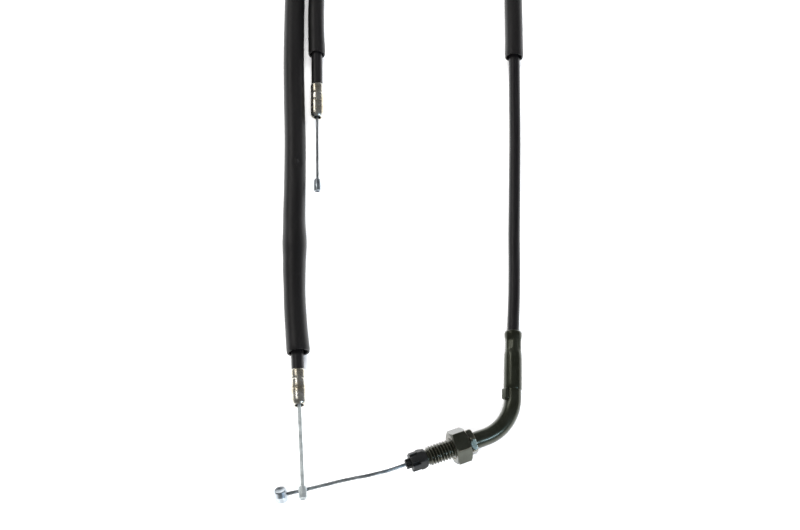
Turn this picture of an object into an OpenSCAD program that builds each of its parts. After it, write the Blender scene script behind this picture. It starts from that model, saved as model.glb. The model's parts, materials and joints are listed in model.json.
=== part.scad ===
// Motorcycle throttle cable, one into two, laid out flat with its spare length coiled.
// Z = 0 is the surface it lies on. The three fitted ends point towards -Y, the splitter
// and the coil lie at +Y. Millimetres throughout.

/* [Casings] */
// Diameter of the main and oil casings over the jacket
casing_d = 5.0; // [4.6:0.1:5.0]
// Diameter of the carburettor casing over the jacket
carb_casing_d = 5.2; // [4.6:0.1:5.2]
// Diameter of the wound steel conduit under the jacket
conduit_d = 4.0; // [3.6:0.1:4.0]
// Diameter of the slippery liner inside the conduit
liner_d = 2.4; // [2.2:0.1:2.6]

/* [Wires] */
// Diameter of the grip and carburettor wires
wire_d = 1.6; // [1.2:0.1:1.6]
// Diameter of the oil pump wire
oil_wire_d = 1.2; // [1.0:0.1:1.4]
// How far the grip pulls the wires
travel = 24; // [15:1:24]
// Carburettor wire showing between its ferrule and its nipple
carb_wire_out = 34.4; // [30:0.1:36]
// Oil pump wire showing between its ferrule and its nipple
oil_wire_out = 30.4; // [28:0.1:32]

/* [Nipples] */
// Diameter of the grip drum nipple
drum_d = 5.0; // [4:0.1:5.4]
// Length of the grip drum nipple
drum_l = 5.4; // [4:0.1:5.6]
// Diameter of the carburettor nipple
carb_nipple_d = 3.4; // [3:0.1:3.6]
// Length of the carburettor nipple
carb_nipple_l = 5.3; // [4:0.1:6]
// Diameter of the oil pump nipple
oil_nipple_d = 3.0; // [2.6:0.1:3.4]
// Length of the oil pump nipple
oil_nipple_l = 5.8; // [4:0.1:6]

/* [Ferrules] */
// Diameter of the carburettor ferrule
carb_ferrule_d = 6.4; // [6.2:0.1:6.8]
// Length of the carburettor ferrule
carb_ferrule_l = 15.4; // [14:0.1:17]
// Diameter of the oil pump ferrule
oil_ferrule_d = 5.8; // [5.8:0.1:6.2]
// Length of the oil pump ferrule
oil_ferrule_l = 16.4; // [14:0.1:17]
// Diameter of the three plain stop ferrules at the splitter
stop_ferrule_d = 6.4; // [6.3:0.1:6.6]

/* [Grip elbow] */
// Outside diameter of the bent pipe
pipe_d = 7.1; // [6.9:0.1:7.3]
// Radius of the bend at the pipe's centre line
bend_r = 19; // [17:0.5:21]
// Angle that the pipe turns through
bend_angle = 67; // [67:1:67]
// Major diameter of the adjuster thread
thread_d = 8; // [8:1:8]
// Lead of the adjuster thread
thread_pitch = 1.25; // [1.25:0.25:1.25]
// Lock nut across its flats
nut_af = 13; // [13:1:13]
// Thickness of the lock nut
nut_t = 6.5; // [4:0.1:6.8]
// Collar of the threaded sleeve across its flats
collar_af = 9.4; // [9:0.1:10]

/* [Splitter] */
// Width of the splitter body
split_w = 22.6; // [22.6:0.2:24]
// Thickness of the splitter body
split_t = 11.2; // [11.2:0.2:11.2]
// Length of the splitter body
split_l = 50; // [50:1:50]
// Distance between the two outlets
outlet_gap = 10; // [10:1:10]

/* [Coil] */
// Radius of the coil at the middle of its turns
coil_r = 30; // [30:1:30]
// Height of the bundle of turns
coil_h = 15.2; // [15.2:0.1:16]

/* [Hidden] */
$fn = 48;

slip = 0.1;            // radial room of a wire in its liner
fit = 0.05;            // radial room of a running or pushed fit
eps = 0.01;
jacket_black = "#202021";
sleeve_black = "#262626";
chromate = "#3b3c34";
zinc = "#c6cbcf";
nickel = "#cfcdc6";

// Grip elbow: the run and the threaded end meet at the corner point
corner = [44.6, -128.4, 3.9];
run_heading = 2;       // the run leans this far off the Y axis
bend_roll = 8;         // the bend lifts the threaded end by this roll
bend_reach = bend_r * tan(bend_angle / 2);
crimp_start = 16;      // distances up the run from the corner
crimp_end = 41.4;
casing_seat = 31;
collar_start = 17.6;   // distances along the thread's axis from the corner
thread_start = 20;
nut_start = 20.6;
thread_end = 38;
spigot_end = 43;
cap_start = 38.7;
cap_end = 45.2;
nose_end = 47.3;
spigot_r = 2.8;
pipe_bore_r = 2.1;
free_wire_start = 54.5;
nut_roll = 3;          // levels the nut's lowest flat
hex_corner = 1 / cos(30);

// Splitter: its own frame starts at the outlet face, with Z along +Y
split_at = [-45, 99, split_t / 2];
split_wall = 1.8;
cavity_z = 8;
cap_z = 46;
slider_l = 12;
slider_z = 8.4;
stop_l = 12;
stop_out = 6;          // length of a stop ferrule that stands out of the splitter
top_casing_l = 33;     // straight casing below the outlets

// Fitted ends: the nose of each ferrule, its heading off -Y and its rise
carb_tip = [-42.8, -119.8, 6.6];
carb_heading = 3.9;
carb_rise = 4;
carb_straight = 38;
oil_tip = [-38.5, 14.4, 3.9];
oil_heading = 1.5;
oil_straight = 35;

// Routes, as points chosen along each centre line
function run_point(l) = corner + l * [sin(run_heading), cos(run_heading), 0];
function end_point(tip, heading, rise, l) =
    tip - l * [sin(heading) * cos(rise), -cos(heading) * cos(rise), sin(rise)];

main_route = [
    run_point(casing_seat), run_point(crimp_end + 1), [47.0, -70, 3.7], [47.5, -57, 3.4],
    [47.8, -44, 3.2], [48.4, -28, 3.1], [49.0, -12, 3.1], [49.5, 2, 3.1], [49.8, 14, 3.2],
    [50.1, 28, 3.4], [50.4, 43, 3.6], [50.6, 58, 3.7], [50.8, 75, 3.8], [51.2, 90, 3.8],
    [51.6, 105, 3.8], [51.9, 120, 3.8], [52, 135, 3.8], [52, 150, 3.7], [52, 168, 3.6],
    [52, 186, 3.6]
];
tail_route = [
    [22, 216, 13.8], [15, 216, 13.4], [5, 216, 11.8], [-5, 216, 9.8], [-15, 216, 8.0],
    [-22.8, 215, 7.2], [-30, 212, 6.6], [-36.2, 207.2, 6.1], [-41, 201, 5.8], [-44, 194.5, 5.6],
    [-45, 188, 5.6], [-45, 186, 5.6]
];
carb_route = [
    [-50, 66, 5.6], [-50, 64, 5.6], [-49.9, 55, 5.4], [-49.6, 42, 5.0], [-49.2, 32, 4.7],
    [-48.8, 22, 4.5], [-48.3, 12, 4.3], [-47.9, 2, 4.2], [-47.7, -8, 4.1], [-47.5, -18, 4.1],
    [-47.3, -30, 4.1], [-47.1, -42, 4.1], [-46.8, -56, 4.1], [-46.2, -70, 4.0],
    for (l = [carb_straight + 2, carb_straight]) end_point(carb_tip, carb_heading, carb_rise, l)
];
oil_route = [
    [-40, 66, 5.6], [-40, 64, 5.6], [-39.9, 60, 5.2], [-39.7, 55, 4.4],
    for (l = [oil_straight + 2, oil_straight]) end_point(oil_tip, oil_heading, 0, l)
];
carb_sleeve_route = [
    [-50, 86, 5.6], [-49.9, 61, 5.3], [-49.6, 42, 5.0], [-48.8, 22, 4.9], [-47.9, 2, 4.8],
    [-47.5, -18, 4.8], [-47.2, -38, 4.8], [-46.9, -52, 4.8], [-46.5, -63, 4.8], [-46.0, -74, 4.8],
    [-44.9, -87, 4.9], [-43.9, -96.4, 5.1]
];
oil_sleeve_route = [
    [-40, 84, 5.6], [-40, 66, 5.6], [-39.9, 60, 5.2], [-39.7, 55, 4.4],
    end_point(oil_tip, oil_heading, 0, oil_straight), [-39.35, 46.6, 3.9]
];
main_sleeve_route = [
    [50.3, 45, 4.2], [50.6, 58, 4.2], [50.8, 75, 4.2], [51.2, 90, 4.2], [51.6, 105, 4.2],
    [51.9, 120, 4.2], [52, 135, 4.2], [52, 148, 4.2]
];
grip_route = [
    [-10, -149.1, 11.0], [-15, -150.1, 10.2], [-20, -150.7, 8.8], [-25, -151.4, 7.2],
    [-30, -152.3, 5.8], [-35, -153.3, 4.8], [-40, -154.4, 4.1], [-46.9, -155.9, 3.8]
];
drum_at = [-49.4, -156.4, 3.8];
drum_heading = 12;     // heading of the wire at the drum, off -X
drum_tilt = 50;        // the drum's axis stands up by this much

// Sweeps: rings along a route, with the side always level
function unit(v) = v / norm(v);
function along(p, i) = unit(p[min(i + 1, len(p) - 1)] - p[max(i - 1, 0)]);
function ring(p, i, r, sides) =
    let (t = along(p, i), s = unit(cross(t, [0, 0, 1])), u = cross(s, t))
    [for (k = [0:sides - 1]) p[i] + r * (cos(360 * k / sides) * s + sin(360 * k / sides) * u)];
function band(a, b, sides) = [
    for (k = [0:sides - 1]) let (n = (k + 1) % sides)
    each [[a + k, b + k, b + n], [a + k, b + n, a + n]]
];

module tube(p, r, sides = 12) {
    n = len(p);
    polyhedron(
        [for (i = [0:n - 1]) each ring(p, i, r, sides)],
        [
            [for (k = [0:sides - 1]) k],
            [for (k = [sides - 1:-1:0]) (n - 1) * sides + k],
            for (i = [0:n - 2]) each band(i * sides, (i + 1) * sides, sides)
        ],
        convexity = 6
    );
}

module hose(p, r, wall, sides = 12) {
    n = len(p);
    inner = n * sides;
    polyhedron(
        [
            for (i = [0:n - 1]) each ring(p, i, r, sides),
            for (i = [0:n - 1]) each ring(p, i, r - wall, sides)
        ],
        [
            for (i = [0:n - 2]) each band(i * sides, (i + 1) * sides, sides),
            for (i = [0:n - 2]) each band(inner + (i + 1) * sides, inner + i * sides, sides),
            each band(inner, 0, sides),
            each band((n - 1) * sides, inner + (n - 1) * sides, sides)
        ],
        convexity = 8
    );
}

// A tube or ring between two heights, with a true bore
module pipe(r, bore, z0, z1) {
    difference() {
        translate([0, 0, z0]) cylinder(r = r, h = z1 - z0);
        translate([0, 0, z0 - 1]) cylinder(r = bore, h = z1 - z0 + 2);
    }
}

// Frames that the pieces are drawn in
module elbow_plane() translate(corner) rotate([0, 0, -run_heading]) rotate([0, bend_roll, 0]) children();
module run_frame() elbow_plane() rotate([-90, 0, 0]) children();
module thread_frame() elbow_plane() rotate([0, 0, -bend_angle]) rotate([90, 0, 0]) children();
module splitter_frame() translate(split_at) rotate([-90, 0, 0]) children();
module outlet(side) translate([side * outlet_gap / 2, 0, 0]) children();
module carb_frame() translate(carb_tip) rotate([90 - carb_rise, 0, carb_heading]) children();
module oil_frame() translate(oil_tip) rotate([90, 0, oil_heading]) children();
module drum_frame() translate(drum_at) rotate([0, 0, drum_heading]) rotate([drum_tilt - 90, 0, 0]) children();

// The bent pipe's centre line, from the crimp sleeve round to a point on the thread's axis
function bend_route(end, steps = 14) = [
    [0, crimp_start, 0], [0, bend_reach + 1, 0],
    for (i = [0:steps]) let (a = bend_angle * i / steps)
        [-bend_r * (1 - cos(a)), bend_reach - bend_r * sin(a), 0],
    for (l = [bend_reach + 1, end]) -l * [sin(bend_angle), cos(bend_angle), 0]
];

module elbow_pipe() color(chromate)
    elbow_plane() hose(bend_route(collar_start), pipe_d / 2, pipe_d / 2 - pipe_bore_r, 24);

// The pipe's turned-down end, which the threaded sleeve turns on
module pipe_spigot() color(chromate) thread_frame() pipe(spigot_r, pipe_bore_r, collar_start, spigot_end);

module pipe_liner() color("ivory")
    elbow_plane() hose(bend_route(spigot_end), pipe_bore_r - fit, pipe_bore_r - fit - wire_d / 2 - slip, 24);

module index_tab() color(chromate) {
    run_frame() rotate([0, 0, 210]) difference() {
        translate([0, -1.5, bend_reach - 1.2]) cube([pipe_d / 2 + 1.4, 3, crimp_start - bend_reach + 1.1]);
        cylinder(r = pipe_d / 2 + fit, h = crimp_start * 2);
    }
}

module crimp_sleeve() color(chromate) {
    run_frame() difference() {
        rotate_extrude() polygon([
            [0, crimp_start], [3.75, crimp_start], [3.8, crimp_start + 6], [3.75, crimp_end - 12],
            [3.5, crimp_end - 8.5], [3.42, crimp_end - 5], [3.5, crimp_end - 3.4], [3.7, crimp_end - 1.8],
            [3.7, crimp_end - 0.6], [3.4, crimp_end], [0, crimp_end]
        ]);
        translate([0, 0, casing_seat]) cylinder(r = casing_d / 2 + fit, h = crimp_end);
        cylinder(r = wire_d / 2 + slip, h = crimp_end * 2);
    }
}

module threaded_sleeve() color(chromate) {
    thread_frame() difference() {
        union() {
            translate([0, 0, collar_start]) rotate([0, 0, 30 + nut_roll])
                cylinder(r = collar_af / 2 * hex_corner, h = thread_start - collar_start, $fn = 6);
            translate([0, 0, thread_start - eps]) cylinder(d = thread_d, h = thread_end - thread_start + eps);
        }
        translate([0, 0, collar_start - 1]) cylinder(r = spigot_r + fit, h = thread_end);
    }
}

module lock_nut() color(chromate) {
    thread_frame() difference() {
        rotate([0, 0, nut_roll]) intersection() {
            translate([0, 0, nut_start]) cylinder(r = nut_af / 2 * hex_corner, h = nut_t, $fn = 6);
            rotate_extrude() polygon([
                [0, nut_start], [nut_af / 2, nut_start], [nut_af / 2 * hex_corner + 0.1, nut_start + 0.6],
                [nut_af / 2 * hex_corner + 0.1, nut_start + nut_t - 0.6], [nut_af / 2, nut_start + nut_t],
                [0, nut_start + nut_t]
            ]);
        }
        translate([0, 0, nut_start - 1]) cylinder(r = thread_d / 2 + fit, h = nut_t + 2);
    }
}

module end_cap() color("#1c1b1c") {
    thread_frame() difference() {
        union() {
            translate([0, 0, cap_start]) cylinder(r1 = 3.5, r2 = 4.2, h = 1.6);
            translate([0, 0, cap_start + 1.6]) cylinder(r = 4.3, h = cap_end - cap_start - 1.6, $fn = 6);
            translate([0, 0, cap_end - eps]) cylinder(r = 2.1, h = nose_end - cap_end + eps);
        }
        translate([0, 0, cap_start - 1]) cylinder(r = spigot_r + fit, h = spigot_end - cap_start + 1.2);
        cylinder(r = wire_d / 2 + slip, h = nose_end + 1);
    }
}

module grip_wire() color(zinc)
    tube([thread_point(15), thread_point(40), thread_point(free_wire_start), each grip_route], wire_d / 2);

// A point on the thread's axis, in the part's own frame
function thread_point(l) =
    let (x = -sin(bend_angle) * cos(bend_roll), y = -cos(bend_angle), z = sin(bend_angle) * sin(bend_roll))
    corner + l * [
        x * cos(run_heading) + y * sin(run_heading), y * cos(run_heading) - x * sin(run_heading), z
    ];

module grip_nipple() color(zinc) {
    drum_frame() translate([0, 0, -drum_l / 2]) cylinder(d = drum_d, h = drum_l);
}

module main_run() color(jacket_black) tube(main_route, casing_d / 2);
module main_tail() color(jacket_black) tube(tail_route, casing_d / 2);

module main_coil() color(jacket_black) {
    translate([22, 186, 1]) rotate_extrude($fn = 96)
        translate([coil_r - casing_d / 2 - 0.1, 0]) square([casing_d + 0.2, coil_h]);
}

module coil_tie(angle) color("#151515") {
    translate([22, 186, 0]) rotate([0, 0, angle]) translate([coil_r, 0, 0]) rotate([90, 0, 0])
        linear_extrude(4, center = true) difference() {
            translate([-3.5, 0]) square([7, coil_h + 1.9]);
            translate([-2.65, 0.9]) square([5.3, coil_h + 0.15]);
        }
}
module coil_tie_left() coil_tie(205);
module coil_tie_right() coil_tie(295);

module main_sleeve() color(sleeve_black) hose(main_sleeve_route, 4.2, 0.8);
module carb_sleeve() color(sleeve_black) hose(carb_sleeve_route, 4.75, 0.9);
module oil_sleeve() color(sleeve_black) hose(oil_sleeve_route, 3.8, 0.8);
module carb_run() color(jacket_black) tube(carb_route, carb_casing_d / 2);
module oil_run() color(jacket_black) tube(oil_route, casing_d / 2);

// Casing at the splitter's inlet: jacket, conduit and liner in one another
inlet_seat = cap_z + 2.9;
inlet_end = 186 - split_at.y;
module main_casing_end() color(jacket_black)
    splitter_frame() pipe(casing_d / 2, conduit_d / 2 + fit, inlet_seat, inlet_end);
module main_conduit() color("silver")
    splitter_frame() pipe(conduit_d / 2, liner_d / 2 + fit, inlet_seat, inlet_end);
module main_liner() color("ivory")
    splitter_frame() pipe(liner_d / 2, wire_d / 2 + slip, inlet_seat, inlet_end);

// A plain stop ferrule: a cup with its closed end at the splitter
module stop_ferrule(bore_d, wire_hole_d) {
    difference() {
        cylinder(d = stop_ferrule_d, h = stop_l);
        translate([0, 0, -1]) cylinder(d = bore_d + 2 * fit, h = stop_l);
        cylinder(d = wire_hole_d + 2 * slip, h = stop_l + 1);
    }
}
module main_stop_ferrule() color(nickel)
    splitter_frame() translate([0, 0, inlet_seat - 1 + stop_l]) rotate([180, 0, 0])
        stop_ferrule(casing_d, wire_d);
module carb_stop_ferrule() color(nickel)
    splitter_frame() outlet(-1) translate([0, 0, -stop_out]) stop_ferrule(carb_casing_d, wire_d);
module oil_stop_ferrule() color(nickel)
    splitter_frame() outlet(1) translate([0, 0, -stop_out]) stop_ferrule(casing_d, oil_wire_d);

module slot_prism(w, t, h) {
    translate([-(w - t) / 2, -t / 2, 0]) cube([w - t, t, h]);
    for (side = [-1, 1]) translate([side * (w - t) / 2, 0, 0]) cylinder(d = t, h = h);
}

module splitter_body() color("#232323") {
    splitter_frame() difference() {
        union() {
            slot_prism(split_w, split_t, split_l);
            for (side = [-1, 1]) outlet(side) translate([0, 0, -2]) cylinder(r = 4.4, h = 3);
        }
        translate([0, 0, cavity_z]) slot_prism(split_w - 2 * split_wall, split_t - 2 * split_wall, split_l);
        for (side = [-1, 1]) outlet(side) {
            translate([0, 0, -3]) cylinder(d = stop_ferrule_d + 2 * fit, h = 3 + stop_out);
            cylinder(r = 1.1, h = cavity_z + 1);
        }
    }
}

module splitter_cap() color("#2b2b2b") {
    splitter_frame() difference() {
        union() {
            translate([0, 0, cap_z])
                slot_prism(split_w - 2 * split_wall - 2 * fit, split_t - 2 * split_wall - 2 * fit, 4 + eps);
            translate([0, 0, split_l]) slot_prism(split_w, split_t, 2.4);
            translate([0, 0, split_l]) cylinder(r = 4.6, h = 5);
        }
        translate([0, 0, inlet_seat - 1]) cylinder(d = stop_ferrule_d + 2 * fit, h = 20);
        cylinder(r = 1.1, h = split_l * 2);
    }
}

module splitter_slider() color("#e6e3d8") {
    gap = 0.2;
    pocket_r = 1.9;
    pocket_l = 5;
    splitter_frame() translate([0, 0, slider_z]) difference() {
        slot_prism(split_w - 2 * split_wall - 2 * gap, split_t - 2 * split_wall - 2 * gap, slider_l);
        translate([0, 0, -1]) cylinder(r = pocket_r, h = pocket_l + 1);
        translate([0, 0, -1]) cylinder(r = wire_d / 2 + fit, h = slider_l + 2);
        for (side = [-1, 1]) outlet(side) {
            translate([0, 0, slider_l - pocket_l]) cylinder(r = pocket_r, h = pocket_l + 1);
            translate([0, 0, -1]) cylinder(r = (side < 0 ? wire_d : oil_wire_d) / 2 + fit, h = slider_l + 2);
        }
    }
}

// Inner wires run straight from their nipples in the slider into the casings
inner_nipple_r = 1.8;
inner_nipple_l = 4;
inlet_wire_l = 38;
outlet_wire_l = 34;
module main_inner_wire() color(zinc)
    splitter_frame() translate([0, 0, slider_z + 5]) cylinder(d = wire_d, h = slider_l - 5 + inlet_wire_l);
module main_inner_nipple() color(zinc)
    splitter_frame() translate([0, 0, slider_z + 5 - inner_nipple_l])
        cylinder(r = inner_nipple_r, h = inner_nipple_l);
module outlet_wire(side, d)
    splitter_frame() outlet(side) translate([0, 0, slider_z - outlet_wire_l])
        cylinder(d = d, h = outlet_wire_l + slider_l - 5);
module outlet_nipple(side)
    splitter_frame() outlet(side) translate([0, 0, slider_z + slider_l - 5])
        cylinder(r = inner_nipple_r, h = inner_nipple_l);
module carb_inner_wire() color(zinc) outlet_wire(-1, wire_d);
module carb_inner_nipple() color(zinc) outlet_nipple(-1);
module oil_inner_wire() color(zinc) outlet_wire(1, oil_wire_d);
module oil_inner_nipple() color(zinc) outlet_nipple(1);

module carb_casing_top() color(jacket_black)
    splitter_frame() outlet(-1) pipe(carb_casing_d / 2, wire_d / 2 + slip, -top_casing_l, stop_out - 1);
module oil_casing_top() color(jacket_black)
    splitter_frame() outlet(1) pipe(casing_d / 2, oil_wire_d / 2 + slip, -top_casing_l, stop_out - 1);

// Casing at a fitted end: jacket, conduit and liner, stopping inside the ferrule
ferrule_floor = 5;     // solid length between the casing and the ferrule's nose
module carb_casing_end() color(jacket_black)
    carb_frame() pipe(carb_casing_d / 2, conduit_d / 2 + fit, -carb_straight, -ferrule_floor);
module carb_conduit() color("silver")
    carb_frame() pipe(conduit_d / 2, liner_d / 2 + fit, -carb_straight, -ferrule_floor);
module carb_liner() color("ivory")
    carb_frame() pipe(liner_d / 2, wire_d / 2 + slip, -carb_straight, -ferrule_floor);
module oil_casing_end() color(jacket_black)
    oil_frame() pipe(casing_d / 2, conduit_d / 2 + fit, -oil_straight, -ferrule_floor);
module oil_conduit() color("silver")
    oil_frame() pipe(conduit_d / 2, liner_d / 2 + fit, -oil_straight, -ferrule_floor);
module oil_liner() color("ivory")
    oil_frame() pipe(liner_d / 2, oil_wire_d / 2 + slip, -oil_straight, -ferrule_floor);

// A crimped ferrule: two rolled grooves and a rounded nose with a wire hole
module ferrule(d, l, groove_1, groove_2, groove, casing, hole_r) {
    r = d / 2;
    difference() {
        rotate_extrude() polygon([
            [0, -l], [r - 0.2, -l], [r, -l + 0.3],
            for (g = [groove_1, groove_2]) each [[r, -g - 0.5], [r - groove, -g], [r, -g + 0.5]],
            [r, -1.6], [r - 0.5, -0.5], [r - 1.2, 0], [0, 0]
        ]);
        translate([0, 0, -l - 1]) cylinder(d = casing + 2 * fit, h = l + 1 - ferrule_floor);
        translate([0, 0, -l]) cylinder(r = hole_r, h = l + 1);
        translate([0, 0, -2.2]) cylinder(r = 1.7, h = 3);
    }
}
module carb_ferrule() color(nickel)
    carb_frame() ferrule(carb_ferrule_d, carb_ferrule_l, 11.4, 7.2, 0.35, carb_casing_d, wire_d / 2 + slip);
module oil_ferrule() color(nickel)
    oil_frame() ferrule(oil_ferrule_d, oil_ferrule_l, 12, 8.4, 0.25, casing_d, oil_wire_d / 2 + slip);

wire_in = 9;           // wire left in the straight bore at full travel
module carb_wire() color(zinc)
    carb_frame() translate([0, 0, -wire_in]) cylinder(d = wire_d, h = wire_in + carb_wire_out);
module carb_nipple() color(zinc)
    carb_frame() translate([0, 0, carb_wire_out]) cylinder(d = carb_nipple_d, h = carb_nipple_l);
module oil_wire() color(zinc)
    oil_frame() translate([0, 0, -wire_in]) cylinder(d = oil_wire_d, h = wire_in + oil_wire_out);
module oil_nipple() color(zinc)
    oil_frame() translate([0, 0, oil_wire_out]) cylinder(d = oil_nipple_d, h = oil_nipple_l);

elbow_pipe();
pipe_spigot();
pipe_liner();
index_tab();
crimp_sleeve();
threaded_sleeve();
lock_nut();
end_cap();
grip_wire();
grip_nipple();
main_run();
main_coil();
main_tail();
coil_tie_left();
coil_tie_right();
main_sleeve();
main_casing_end();
main_conduit();
main_liner();
main_stop_ferrule();
splitter_body();
splitter_cap();
splitter_slider();
main_inner_wire();
main_inner_nipple();
carb_inner_wire();
carb_inner_nipple();
oil_inner_wire();
oil_inner_nipple();
carb_stop_ferrule();
oil_stop_ferrule();
carb_casing_top();
oil_casing_top();
carb_run();
carb_sleeve();
carb_casing_end();
carb_conduit();
carb_liner();
carb_ferrule();
carb_wire();
carb_nipple();
oil_run();
oil_sleeve();
oil_casing_end();
oil_conduit();
oil_liner();
oil_ferrule();
oil_wire();
oil_nipple();
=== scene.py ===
import json
import math

import bmesh
import bpy
from mathutils import Matrix, Vector


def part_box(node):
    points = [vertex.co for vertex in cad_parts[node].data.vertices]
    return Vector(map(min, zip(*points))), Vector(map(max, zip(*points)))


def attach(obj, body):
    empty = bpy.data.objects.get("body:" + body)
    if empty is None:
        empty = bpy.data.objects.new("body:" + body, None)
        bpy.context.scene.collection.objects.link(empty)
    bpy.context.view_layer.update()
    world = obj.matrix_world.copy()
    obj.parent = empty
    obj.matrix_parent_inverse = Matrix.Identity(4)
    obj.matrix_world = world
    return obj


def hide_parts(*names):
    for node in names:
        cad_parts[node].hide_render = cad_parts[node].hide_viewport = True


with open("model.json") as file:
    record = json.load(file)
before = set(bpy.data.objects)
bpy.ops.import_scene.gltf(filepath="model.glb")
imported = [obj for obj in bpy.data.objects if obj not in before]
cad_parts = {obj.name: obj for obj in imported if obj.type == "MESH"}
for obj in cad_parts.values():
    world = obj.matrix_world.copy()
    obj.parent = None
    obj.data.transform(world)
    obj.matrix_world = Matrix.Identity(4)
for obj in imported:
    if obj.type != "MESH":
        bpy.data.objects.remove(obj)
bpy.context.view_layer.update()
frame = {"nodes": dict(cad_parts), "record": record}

mounts = {m["name"]: (Vector(m["pos_m"]), Vector(m["axis"]).normalized())
          for m in frame["record"]["mounts"]}


# Main casing. A wound steel conduit with a black vinyl jacket extruded over it, 5 mm across.
# It runs from the crimp sleeve away from the grip end, its spare length is wound into a round coil,
# and it goes into the stop ferrule at the junction's inlet.
def srgb(code):
    """The linear colour of an sRGB hex code, with full alpha."""
    parts = [int(code[i:i + 2], 16) / 255 for i in (1, 3, 5)]
    return [c / 12.92 if c <= 0.04045 else ((c + 0.055) / 1.055) ** 2.4 for c in parts] + [1.0]


def new_finish(name, **sockets):
    """A material, and its shader with these sockets set."""
    finish = bpy.data.materials.new(name)
    finish.use_nodes = True
    shader = finish.node_tree.nodes["Principled BSDF"]
    for socket, value in sockets.items():
        shader.inputs[socket.replace("_", " ")].default_value = value
    return finish, shader.inputs


def add(finish, kind, inputs=None, out=0, to=None, stops=None, **settings):
    """Adds a node with its settings and links, and gives one of its outputs."""
    node = finish.node_tree.nodes.new("ShaderNode" + kind)
    for name, value in settings.items():
        setattr(node, name, value)
    for name, value in (inputs or {}).items():
        if isinstance(value, bpy.types.NodeSocket):
            finish.node_tree.links.new(value, node.inputs[name])
        else:
            node.inputs[name].default_value = value
    for i, (place, colour) in enumerate(stops or []):
        marks = node.color_ramp.elements            # a new ramp has two marks already
        mark = marks[i] if i < 2 else marks.new(place)
        mark.position, mark.color = place, srgb(colour)
    if to is not None:
        finish.node_tree.links.new(node.outputs[out], to)
    return node.outputs[out]


MIX_FACTOR, MIX_A, MIX_B, MIX_OUT = 0, 6, 7, 2    # the sockets of a Mix node that mixes colours


def smooth_line(points, step):
    """Points about a step apart on the smooth curve through the given ones."""
    points = [Vector(p) for p in points]
    gaps = [(b - a).length for a, b in zip(points, points[1:])]
    slopes = [(b - a) / g for a, b, g in zip(points, points[1:], gaps)]
    turns = [(s * h + t * g) / (g + h) for s, t, g, h in zip(slopes, slopes[1:], gaps, gaps[1:])]
    heads = [slopes[0], *turns, slopes[-1]]
    line = []
    for a, b, g, m, n in zip(points, points[1:], gaps, heads, heads[1:]):
        count = max(1, round(g / step))
        for i in range(count):
            t = i / count
            line.append(a * (2 * t**3 - 3 * t**2 + 1) + m * g * (t**3 - 2 * t**2 + t)
                        + b * (3 * t**2 - 2 * t**3) + n * g * (t**3 - t**2))
    return [*line, points[-1]]


def skin(name, rings, marks, closed=False, sharp=35):
    """A piece whose surface goes through rings of points, with its UVs in turns and in metres.
    closed joins the last ring to the first, for a piece with a hole through it."""
    sides, count = len(rings[0]), len(rings)
    bm = bmesh.new()
    uv = bm.loops.layers.uv.new("UVMap")
    verts = [[bm.verts.new(p) for p in ring] for ring in rings]
    for i in range(count if closed else count - 1):
        j = (i + 1) % count
        for k in range(sides):
            n = (k + 1) % sides
            face = bm.faces.new((verts[i][k], verts[i][n], verts[j][n], verts[j][k]))
            for loop, turn, mark in zip(face.loops, (k, k + 1, k + 1, k), (i, i, j, j)):
                loop[uv].uv = (turn / sides, marks[mark])
    if not closed:
        bm.faces.new(verts[0])
        bm.faces.new(verts[-1])
    bmesh.ops.recalc_face_normals(bm, faces=bm.faces)
    mesh = bpy.data.meshes.new(name)
    bm.to_mesh(mesh)
    bm.free()
    mesh.shade_smooth()
    mesh.set_sharp_from_angle(angle=math.radians(sharp))
    piece = bpy.data.objects.new(name, mesh)
    bpy.context.scene.collection.objects.link(piece)
    return piece


def sweep(name, line, outer, inner=None, sides=32):
    """A tube along a line, with its seam underneath. outer and inner give the radius from the
    distance along the line and the angle round it; without inner it is solid."""
    marks = [0.0]
    for a, b in zip(line, line[1:]):
        marks.append(marks[-1] + (b - a).length)
    walls = [[], []]
    for i, centre in enumerate(line):
        ahead = (line[min(i + 1, len(line) - 1)] - line[max(i - 1, 0)]).normalized()
        across = ahead.cross(Vector((0, 0, 1))).normalized()
        rise = across.cross(ahead)
        for wall, radius in zip(walls, (outer, inner)):
            if radius:
                turns = [2 * math.pi * k / sides for k in range(sides)]
                wall.append([centre + radius(marks[i], a) * (math.sin(a) * across - math.cos(a) * rise)
                             for a in turns])
    if inner:
        return skin(name, walls[0] + walls[1][::-1], marks + marks[::-1], closed=True)
    return skin(name, walls[0], marks)


def fit(piece, finish, body, slot, *nodes):
    """Gives a piece its finish, its body and the CAD nodes that it stands for."""
    piece.data.materials.append(finish)
    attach(piece, body)
    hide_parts(*nodes)
    return piece


# Extruded vinyl: long die lines along the casing, and the conduit's winding just felt through it
vinyl_jacket, shader = new_finish("extruded_black_vinyl", IOR=1.50, Specular_IOR_Level=0.35)
run = add(vinyl_jacket, "TexCoord", out="UV")
drawn = add(vinyl_jacket, "Mapping", {"Vector": run, "Scale": (16, 55, 1)})  # 1 mm wide, 18 mm long
lines = add(vinyl_jacket, "TexNoise", {"Vector": drawn, "Scale": 1.0, "Detail": 5.0})
add(vinyl_jacket, "ValToRGB", {"Fac": lines}, to=shader["Base Color"],
    stops=[(0.30, "#080708"), (0.72, "#111011")])
add(vinyl_jacket, "MapRange", {"Value": lines, "To Min": 0.30, "To Max": 0.46}, to=shader["Roughness"])
winding_scale = 0.314 / 0.0015    # 1.5 mm pitch: the wave node has 0.314 of a unit to a band
winding = add(vinyl_jacket, "TexWave", {"Vector": run, "Scale": winding_scale, "Distortion": 0.4},
              bands_direction="Y")
felt = add(vinyl_jacket, "Bump", {"Height": winding, "Strength": 0.10, "Distance": 0.0001})
add(vinyl_jacket, "Bump", {"Height": lines, "Normal": felt, "Strength": 0.25, "Distance": 0.0001},
    to=shader["Normal"])

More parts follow.
